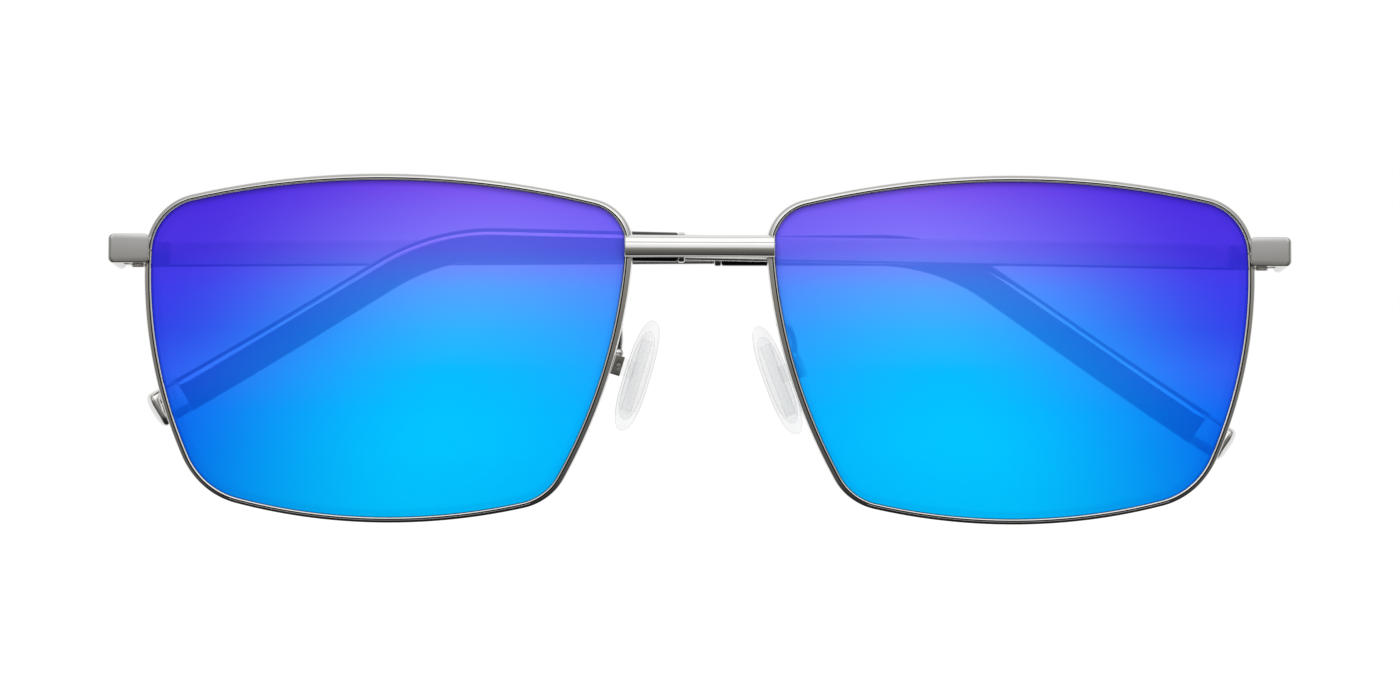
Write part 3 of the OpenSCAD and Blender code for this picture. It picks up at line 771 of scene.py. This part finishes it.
def endpiece_plan(across, deep):
    """The bent bar from above, made smaller by across in x and deep in y."""
    r = TURN_R - deep
    x_out = OUTER_FACE - across
    y_front = PLATE_FRONT + deep
    x_in = OUTER_FACE - LEG_T + across
    x_end = PLATE_IN + across
    y_back = PLATE_FRONT + PLATE_T - deep
    points = [(x_end + PLATE_END_R * (1 - sin(a)), y_front + PLATE_END_R * (1 - cos(a)))
              for a in (pi / 2 - k * pi / 10 for k in range(6))]
    points += [(x_out - r * (1 - sin(a)), y_front + r * (1 - cos(a)))
               for a in (k * pi / 20 for k in range(11))]
    return points + [(x_out, LEG_END - deep), (x_in, LEG_END - deep), (x_in, y_back), (x_end, y_back)]


def rounding(drop, r):
    """How far a corner of radius r has drawn in, at drop below its highest point."""
    rise = max(0, 1 - drop / r)
    return r * (1 - sqrt(1 - rise * rise))


# Levels of the endpiece below its top, and above its bottom, where the edges are round
PLATE_DROPS = (0, 0.01, 0.03, 0.06, 0.09, 0.12, 0.18, 0.26, 0.36, 0.48, CORNER_R)


def endpiece(side):
    """A flat bar bent back round the corner, with rounded ends."""
    levels = [drop - PLATE_H / 2 for drop in PLATE_DROPS]
    levels += [PLATE_H * k / 8 for k in (-2, -1, 0, 1, 2)]
    levels += [PLATE_H / 2 - drop for drop in reversed(PLATE_DROPS)]
    rings = []
    for z in levels:
        drop = PLATE_H / 2 - abs(z)
        crown = FACE_CROWN * (2 * z / PLATE_H) ** 2
        plan = endpiece_plan(rounding(drop, CORNER_R), rounding(drop, EDGE_SOFT) + crown)
        rings.append([(x, y, z - PLATE_DROP) for x, y in plan])
    piece(f"endpiece_bar_{side}", loft(rings), at_hinge(side), SHADED_END_METAL, "front",
          [f"endpiece_{side}"], sharp=35)


# ---- Temples ----
def temple_at(s, side):
    """(back, up, downward slope) at s along the temple from the hinge pin."""
    rise = radians(BAR_RISE[side])
    full = radians(BEND_ANGLE[side])
    start = BEND_START[side]
    a = min(max(0, (s - start) / BEND_R), full) - rise
    run = max(0, s - start - full * BEND_R)
    before = min(s, start)
    back = before * cos(rise) + BEND_R * (sin(a) + sin(rise)) + run * cos(a)
    up = before * sin(rise) - BEND_R * (cos(rise) - cos(a)) - run * sin(a)
    return back, up, a


def tip_in(s):
    """How far the temple has curved inward at s."""
    return max(0, s - TIP_CURVE_START) ** 2 / (2 * TIP_CURVE_R)


def temple_ring(s, side, section):
    """The (outward, up) section set square to the temple's line at s."""
    back, up, a = temple_at(s, side)
    lean_in = max(0, s - TIP_CURVE_START) / TIP_CURVE_R
    ring = []
    for x, z in section:
        along = back + z * sin(a) + x * lean_in * cos(a)
        ring.append((BAR_MID - tip_in(s) + x, along, up + z * cos(a) - x * lean_in * sin(a)))
    return ring


def scaled(section, size):
    return [(x * size, z * size) for x, z in section]


BAR_SLOPE = 0.36       # the bar is this much thinner along its top, on the inner face
BAR_EDGE_R = 0.3
BAR_START = 0.15       # front end of the bar, behind the pin's middle
BAR_SHORT = 0.5        # the drawn bar ends this far before BAR_LEN, inside the collar


def temple_bar(side):
    """Flat bar with a rounded front end."""
    section = [(x + max(0, -x) / (BAR_T / 2) * BAR_SLOPE * (z / BAR_H + 0.5), z)
               for x, z in rounded_rect(BAR_T, BAR_H, BAR_EDGE_R)]
    stations = [(BAR_START, 0.9), (BAR_START + 0.04, 0.965), (BAR_START + 0.13, 1)]
    stations += [(k, 1) for k in range(2, BAR_LEN, 3)]
    stations.append((BAR_LEN - BAR_SHORT, 1))
    rings = [temple_ring(s, side, scaled(section, size)) for s, size in stations]
    piece(f"temple_bar_{side}_finished", loft(rings), at_temple(side), BRUSHED,
          f"temple_{side}", [f"temple_bar_{side}"], sharp=50)


COLLAR_T = SLEEVE_T - 0.1
COLLAR_H = SLEEVE_H + 0.1
COLLAR_EDGE_R = 1
# (place along the temple from BAR_LEN, size of the section)
COLLAR_PROFILE = ((-0.9, 0.86), (-0.86, 0.93), (-0.74, 0.985), (-0.6, 1), (-0.25, 1),
                  (-0.08, 0.99), (-0.02, 0.95))


def sleeve_collar(side):
    """Metal ring round the end of the bar, just ahead of the sleeve."""
    section = rounded_rect(COLLAR_T, COLLAR_H, COLLAR_EDGE_R)
    rings = [temple_ring(BAR_LEN + s, side, scaled(section, size)) for s, size in COLLAR_PROFILE]
    piece(f"sleeve_collar_{side}_finished", loft(rings), at_temple(side), POLISHED,
          f"temple_{side}", [f"sleeve_collar_{side}"], sharp=50)


SLEEVE_EDGE_R = 1.15
SLEEVE_GAP = 0.03      # the sleeve starts this far past BAR_LEN
SLEEVE_STEPS = 70
CAP_START = TEMPLE_LEN - CAP_LEN


def sleeve_section(s, size):
    """The sleeve's section at s, which grows taller from the bar to the cap."""
    share = (s - BAR_LEN) / (CAP_START - BAR_LEN)
    h = SLEEVE_H + (SLEEVE_TIP_H - SLEEVE_H) * min(max(share, 0), 1)
    return scaled(rounded_rect(SLEEVE_T, h, SLEEVE_EDGE_R, steps=9), size)


def temple_sleeve(side):
    """Black sleeve with softened ends, bent down behind the ear."""
    start = BAR_LEN + SLEEVE_GAP
    length = CAP_START - start
    stations = [(start, 0.9), (start + 0.05, 0.955), (start + 0.2, 1)]
    stations += [(start + 0.8 + (length - 1) * k / SLEEVE_STEPS, 1) for k in range(SLEEVE_STEPS)]
    stations += [(CAP_START - 0.1, 1), (CAP_START - 0.02, 0.985)]
    rings = [temple_ring(s, side, sleeve_section(s, size)) for s, size in stations]
    return piece(f"temple_sleeve_{side}_finished", loft(rings), at_temple(side), BLACK,
                 f"temple_{side}", [f"temple_sleeve_{side}"], sharp=50)


# (place along the cap, size of the section) up to its rounded shoulder, then the dome at its end
CAP_PROFILE = ((0, 0.985), (0.06, 1), (0.9, 1), (1.8, 1), (2.7, 1), (3.36, 1), (3.4, 0.998),
               (3.44, 0.985), (3.47, 0.97))
DOME_FROM = 3.48
DOME_SIZE = 0.96


def end_cap(side):
    """Metal cap with flat sides and a low dome over its end."""
    profile = list(CAP_PROFILE)
    for k in range(11):
        a = radians(8 * k)
        profile.append((DOME_FROM + (CAP_LEN - DOME_FROM) * sin(a), DOME_SIZE * cos(a)))
    rings = [temple_ring(CAP_START + s, side, sleeve_section(CAP_START + s, size))
             for s, size in profile]
    heel = temple_ring(CAP_START, side, [(0, 0)])[0]
    tip = temple_ring(TEMPLE_LEN, side, [(0, 0)])[0]
    piece(f"end_cap_{side}_finished", loft(rings, poles=(heel, tip)), at_temple(side), POLISHED,
          f"temple_{side}", [f"end_cap_{side}"], sharp=50)


# ---- Nose pads ----
ARM_R = 0.45
ARM_ROOT = (9.7, 2.75, 3.1)    # where the arm is soldered to the rim
ARM_FOOT = (2.875, 0, 1.7)     # where it meets the pad box, from the pad's middle
ARM_BACK = 6.6                 # depth of its middle, behind the lens apexes
SOLDER_SWELL = 1.25
FOOT_R = 0.58


def wire(line, radii, sides=16):
    """Round wire along the line, with its own radius at each point."""
    rings = []
    for i, p in enumerate(line):
        d = (line[min(i + 1, len(line) - 1)] - line[max(i - 1, 0)]).normalized()
        e = d.cross(Vector((1, 0, 0))).normalized()
        f = d.cross(e)
        r = radii[i]
        rings.append([p + r * (e * cos(-k * tau / sides) + f * sin(-k * tau / sides))
                      for k in range(sides)])
    return loft(rings)


def ball(centre, r, rows=10, sides=16):
    """Ball with its poles above and below the centre."""
    rings = []
    for i in range(1, rows):
        a = pi * i / rows
        rings.append([centre + r * Vector((sin(a) * cos(k * tau / sides),
                                           sin(a) * sin(k * tau / sides), cos(a)))
                      for k in range(sides)])
    return loft(rings, poles=(centre + Vector((0, 0, r)), centre - Vector((0, 0, r))))


def pad_arm(side):
    """Wire that bows back from the rim and down to a ball on the pad box."""
    foot = at_front(side).inverted() @ at_pad(side) @ Vector(ARM_FOOT)
    x, y, z = ARM_ROOT
    route = [ARM_ROOT, (x, y + 1.45, z + 0.2), ((x + foot.x) / 2, ARM_BACK, z),
             foot + Vector((-0.1, -0.7, 2.1)), foot + Vector((0, 0, 0.9)), foot]
    line = curve(route, 12)
    radii = [ARM_R * (SOLDER_SWELL if i < 2 else 1) for i in range(len(line))]
    shape = join(wire(line, radii), ball(foot + Vector((0, 0, 0.3)), FOOT_R))
    piece(f"pad_arm_{side}_finished", shape, at_front(side), POLISHED, "front",
          [f"pad_arm_{side}"], sharp=50)


CAVITY = 0.8           # size of the air cushion inside each pad, as a share of the pad
PAD_TAPER = 0.08       # share by which its foot is wider and its head is narrower
PAD_DISH = 0.25        # its long edges bend this far towards the nose
PAD_SIDES = 36
PAD_ROWS = 13          # from its middle to each end


def pad_ring(u, size):
    """Ring of the silicone pad at share u of its length, from -1 to 1."""
    half_w = PAD_W / 2 * (1 - abs(u) ** 2.6) ** 0.45 * (1 - PAD_TAPER * u)
    half_t = PAD_T / 2 * (1 - abs(u) ** 3) ** 0.5
    ring = []
    for k in range(PAD_SIDES):
        a = -k * tau / PAD_SIDES
        ring.append((size * (half_t * cos(a) - PAD_DISH * sin(a) ** 2), size * half_w * sin(a),
                     size * u * PAD_LEN / 2))
    return ring


def nose_pad(side):
    """Clear pad: an outer skin and the skin of the air cushion in it."""
    shares = [sin(k * pi / 2 / PAD_ROWS) for k in range(1 - PAD_ROWS, PAD_ROWS)]
    skins = [loft([pad_ring(u, size) for u in shares],
                  poles=((0, 0, -PAD_LEN / 2 * size), (0, 0, PAD_LEN / 2 * size)))
             for size in (1, CAVITY)]
    shape = join(*skins)
    piece(f"nose_pad_{side}_finished", shape, at_pad(side), SILICONE, f"pad_{side}",
          [f"nose_pad_{side}"], sharp=60)


# ---- Bodies ----
def front_pieces(side):
    rim(side)
    lens(side)
    endpiece(side)
    pad_arm(side)
    for part in ("rim_lock_upper", "rim_lock_lower", "hinge_leaf_front", "pad_box"):
        refined(f"{part}_{side}", HINGE_METAL, "front", bevel=0.12)
    for part in ("rim_lock_screw", "hinge_screw", "pad_screw"):
        refined(f"{part}_{side}", SCREW_STEEL, "front", bevel=0.06)
    refined(f"hinge_washers_{side}", NYLON, "front", bevel=0.02)


# The pieces that the gloss strip lights
GLOSS_STRIP_ON = bpy.data.collections.new("gloss_strip_on")


def temple_pieces(side):
    temple_bar(side)
    sleeve_collar(side)
    GLOSS_STRIP_ON.objects.link(temple_sleeve(side))
    end_cap(side)
    refined(f"hinge_leaf_temple_{side}", HINGE_METAL, f"temple_{side}", bevel=0.12)


def pad_pieces(side):
    nose_pad(side)
    refined(f"pad_core_{side}", CLEAR_CORE, f"pad_{side}", bevel=0.15)


# ---- Studio ----
FLOOR_Z = -0.045       # metres, as are the floor's size and the places of the lights
FLOOR_HALF = 3
FLOOR_GLOW = 0.9
CAMERA_BACK = 575      # in front of the lens apexes
CAMERA_ASIDE = 0.06
VIEW_AT = 580
VIEW_WIDTH = 168       # seen across at VIEW_AT in front of the camera
ROLL = 0.18            # degrees
SENSOR = 36


def camera():
    data = bpy.data.cameras.new("camera")
    data.sensor_width = SENSOR
    data.lens = SENSOR * VIEW_AT / VIEW_WIDTH
    data.clip_start = 0.01
    data.clip_end = 20
    obj = bpy.data.objects.new("camera", data)
    bpy.context.collection.objects.link(obj)
    eye = shift(CAMERA_ASIDE * MM, -(CAMERA_BACK + LENS_FORWARD) * MM, LENS_RAISE * MM)
    obj.matrix_world = eye @ turn(90, "X") @ turn(ROLL, "Z")
    bpy.context.scene.camera = obj


def area_light(name, at, size, power, glossy):
    """A soft light aimed at the glasses, seen either in reflections only or not in them at all."""
    data = bpy.data.lights.new(name, "AREA")
    data.shape = "RECTANGLE"
    data.size, data.size_y = size
    data.energy = power
    obj = bpy.data.objects.new(name, data)
    bpy.context.collection.objects.link(obj)
    obj.location = at
    obj.rotation_euler = (-Vector(at)).to_track_quat("-Z", "Y").to_euler()
    obj.visible_glossy = glossy
    obj.visible_diffuse = not glossy
    obj.visible_transmission = False
    obj.visible_camera = False
    return obj


# What reflections see in front of the glasses: (height of the direction, light, warmth)
STUDIO_LOW = ((-1, 0.015, 0.05), (-0.7, 0.035, 0.05), (-0.5, 0.086, 0.06), (-0.35, 0.12, 0.06),
              (-0.24, 0.165, 0.08), (-0.11, 0.21, 0.14), (-0.03, 0.25, 0.18), (0.06, 0.28, 0.1))
STUDIO_LAMP = STUDIO_LOW + ((0.12, 0.37, 0.06), (0.18, 0.53, 0.02), (0.25, 0.8, 0), (0.3, 0.93, 0),
                            (0.5, 1.15, 0), (1, 1.2, 0))
STUDIO_GREY = STUDIO_LOW + ((0.36, 0.37, 0.06), (0.55, 0.4, 0.06), (0.72, 0.45, 0.05),
                            (0.84, 0.51, 0.04), (1, 0.54, 0.03))
LAMP_FROM = (-0.27, -0.42)     # the lamp hangs in front: nearer than this it turns to grey
LAMP_SIDE = (0.93, 0.6)        # and so it does far to the sides
STUDIO_BACK = 0.87
BACK_FROM = (0.05, 0.35)       # where the front of the studio turns into the back
BACK_ABOVE = (-0.7, -0.45)     # and the floor into the back


def warm(light, warmth):
    """Grey of the given light, with its blue cut by warmth."""
    return (light, light * (1 - warmth / 3), light * (1 - warmth))


def studio_stops(tones):
    """Colour stops for directions whose height runs from -1 to 1, mapped to 0 to 1."""
    return [(z / 2 + 0.5, warm(light, warmth)) for z, light, warmth in tones]


def studio_front(nodes, links, towards):
    """Under the lamp in front of the glasses, and grey beyond it."""
    up = maths(nodes, links, "MULTIPLY_ADD", towards["Z"], 0.5, 0.5)
    grey = ramp(nodes, links, up, studio_stops(STUDIO_GREY))
    lit = ramp(nodes, links, up, studio_stops(STUDIO_LAMP))
    sideways = maths(nodes, links, "ABSOLUTE", towards["X"])
    within = smooth_span(nodes, links, towards["Y"], *LAMP_FROM)
    beside_lamp = smooth_span(nodes, links, sideways, *LAMP_SIDE)
    lamp = maths(nodes, links, "MULTIPLY", within, beside_lamp)
    return blend(nodes, links, lamp, grey, lit)


def studio_back(nodes, links, towards):
    """The bright back of the studio, down to the floor."""
    behind = smooth_span(nodes, links, towards["Y"], *BACK_FROM)
    above = smooth_span(nodes, links, towards["Z"], *BACK_ABOVE)
    back = maths(nodes, links, "MULTIPLY", behind, above)
    return maths(nodes, links, "MULTIPLY", back, STUDIO_BACK)


def world():
    """White to look at. Reflections see a bright ceiling and back, grey front and dark floor."""
    sky = bpy.data.worlds.new("studio")
    bpy.context.scene.world = sky
    sky.use_nodes = True
    nodes, links = sky.node_tree.nodes, sky.node_tree.links
    parts = nodes.new("ShaderNodeSeparateXYZ")
    links.new(nodes.new("ShaderNodeTexCoord").outputs["Generated"], parts.inputs[0])
    lighter = nodes.new("ShaderNodeMix")
    lighter.data_type = "RGBA"
    lighter.blend_type = "LIGHTEN"
    lighter.inputs["Factor"].default_value = 1
    links.new(studio_front(nodes, links, parts.outputs), lighter.inputs["A"])
    links.new(studio_back(nodes, links, parts.outputs), lighter.inputs["B"])
    studio = nodes.new("ShaderNodeBackground")
    links.new(lighter.outputs["Result"], studio.inputs["Color"])
    plain = nodes.new("ShaderNodeBackground")
    plain.inputs["Color"].default_value = (1, 1, 1, 1)
    path = nodes.new("ShaderNodeLightPath")
    mix = nodes.new("ShaderNodeMixShader")
    links.new(path.outputs["Is Camera Ray"], mix.inputs["Fac"])
    links.new(studio.outputs[0], mix.inputs[1])
    links.new(plain.outputs[0], mix.inputs[2])
    links.new(mix.outputs[0], nodes["World Output"].inputs["Surface"])


def floor():
    """White glowing floor, which metal and lenses do not reflect."""
    mat, nodes, links, shader = new_material("floor")
    tone = noise(nodes, links, object_position(nodes), scale=4, detail=2)
    colours = ((0.3, (0.08, 0.08, 0.08)), (0.7, (0.1, 0.1, 0.1)))
    links.new(ramp(nodes, links, tone, colours), shader.inputs["Base Color"])
    shader.inputs["Roughness"].default_value = 0.9
    shader.inputs["Emission Color"].default_value = (1, 1, 1, 1)
    shader.inputs["Emission Strength"].default_value = FLOOR_GLOW
    mesh = bpy.data.meshes.new("floor")
    corners = ((-1, -1), (1, -1), (1, 1), (-1, 1))
    points = [(x * FLOOR_HALF, y * FLOOR_HALF, FLOOR_Z) for x, y in corners]
    mesh.from_pydata(points, [], [(0, 1, 2, 3)])
    mesh.materials.append(mat)
    obj = bpy.data.objects.new("floor", mesh)
    bpy.context.collection.objects.link(obj)
    obj.visible_glossy = False
    obj.visible_diffuse = False


def lights():
    area_light("key", at=(-0.3, -0.9, 0.7), size=(0.8, 0.8), power=14, glossy=False)
    area_light("fill", at=(0.6, -0.8, 0.1), size=(0.8, 0.8), power=8, glossy=False)
    area_light("top", at=(0, 0.1, 1), size=(1, 1), power=12, glossy=False)
    strip = area_light("gloss_strip", at=(0, -0.64, 0.77), size=(3, 0.8), power=200, glossy=True)
    strip.light_linking.receiver_collection = GLOSS_STRIP_ON


camera()
world()
lights()
floor()
bridge()
for each_side in SIDES:
    front_pieces(each_side)
    temple_pieces(each_side)
    pad_pieces(each_side)

bpy.context.scene.view_settings.view_transform = "Standard"
